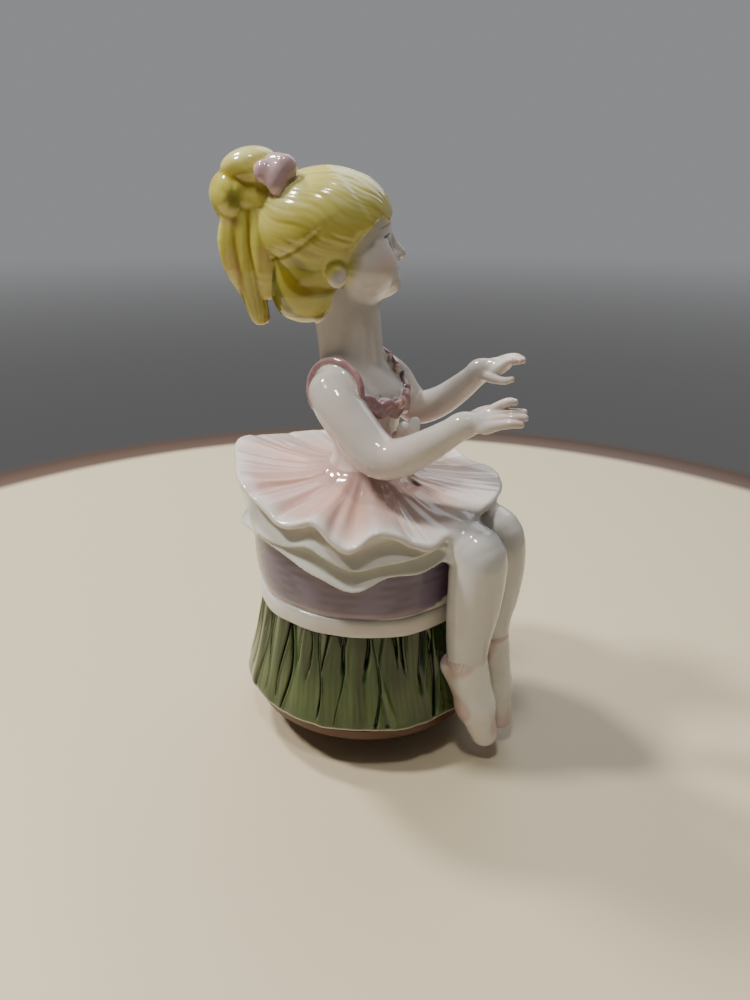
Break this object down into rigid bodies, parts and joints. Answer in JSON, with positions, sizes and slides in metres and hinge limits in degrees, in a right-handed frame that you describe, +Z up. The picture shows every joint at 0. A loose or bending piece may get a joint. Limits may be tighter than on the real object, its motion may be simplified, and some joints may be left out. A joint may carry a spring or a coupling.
{
  "type": "musical porcelain figurine",
  "caption": "Glazed porcelain ballerina sitting on a round skirted stool, turning on a hidden foot by a wind-up musical movement.",
  "frame": {"origin": "centre of the turntable foot's felt underside, at table level on the winding arbor's axis", "axes": "+Z up along the arbor's axis; the girl faces -Y and her left hand is on the +X side"},
  "size_m": [0.0884, 0.1003, 0.1832],
  "materials": {
    "white_glaze": "gloss",
    "skin_glaze": "gloss",
    "pink_glaze": "gloss",
    "lilac_glaze": "gloss",
    "yellow_glaze": "gloss",
    "green_glaze": "gloss",
    "varnished_wood": "gloss",
    "brass": "satin",
    "steel_plated": "satin",
    "spring_steel": "satin",
    "nylon": "matte",
    "felt": "matte"
  },
  "bodies": {
    "foot": {"turntable_foot": "steel_plated", "foot_pad": "felt", "winding_arbor": "steel_plated", "thrust_washer": "nylon", "crown_wheel": "brass"},
    "figurine": {"base_disc": "varnished_wood", "movement_screws": "steel_plated", "bedplate": "brass", "spring_housing": "brass", "housing_screws": "steel_plated", "mainspring": "spring_steel", "comb": "steel_plated", "comb_screws": "brass", "governor_frame": "brass", "stool_skirt": "green_glaze", "seat_rim": "white_glaze", "seat_cushion": "lilac_glaze", "tutu_upper_layer": "pink_glaze", "tutu_middle_layer": "white_glaze", "tutu_lower_layer": "white_glaze", "torso": "skin_glaze", "shoulder_straps": "pink_glaze", "bust_ruffle": "pink_glaze", "waist_bow": "white_glaze", "bodice_flowers": "pink_glaze", "head": "skin_glaze", "hair": "yellow_glaze", "hair_bun": "yellow_glaze", "ponytail": "yellow_glaze", "hair_flower": "lilac_glaze", "right_arm": "skin_glaze", "left_arm": "skin_glaze", "right_leg": "white_glaze", "left_leg": "white_glaze", "right_slipper": "pink_glaze", "left_slipper": "pink_glaze"},
    "cylinder": {"cylinder_shaft": "steel_plated", "music_cylinder": "brass", "cylinder_wheel": "brass"},
    "governor": {"governor_arbor": "steel_plated", "worm_wheel": "nylon"},
    "fan": {"governor_worm": "steel_plated", "air_brake_fan": "nylon"}
  },
  "joints": [
    {"name": "figurine_turn", "type": "hinge", "parent": "foot", "child": "figurine", "pos_m": [0, 0, 0.009], "axis": [0, 0, 1], "continuous": true},
    {"name": "cylinder_spin", "type": "hinge", "parent": "figurine", "child": "cylinder", "pos_m": [0.02, 0, 0.0257], "axis": [1, 0, 0], "continuous": true},
    {"name": "governor_spin", "type": "hinge", "parent": "figurine", "child": "governor", "pos_m": [0.015, 0.0095, 0.0257], "axis": [1, 0, 0], "continuous": true},
    {"name": "fan_spin", "type": "hinge", "parent": "figurine", "child": "fan", "pos_m": [0.0161, 0.0162, 0.0257], "axis": [0, 0, 1], "continuous": true}
  ],
  "couplings": [
    {"joint": "cylinder_spin", "follows": "figurine_turn", "ratio": 2},
    {"joint": "governor_spin", "follows": "figurine_turn", "ratio": -5.6},
    {"joint": "fan_spin", "follows": "figurine_turn", "ratio": 168}
  ]
}
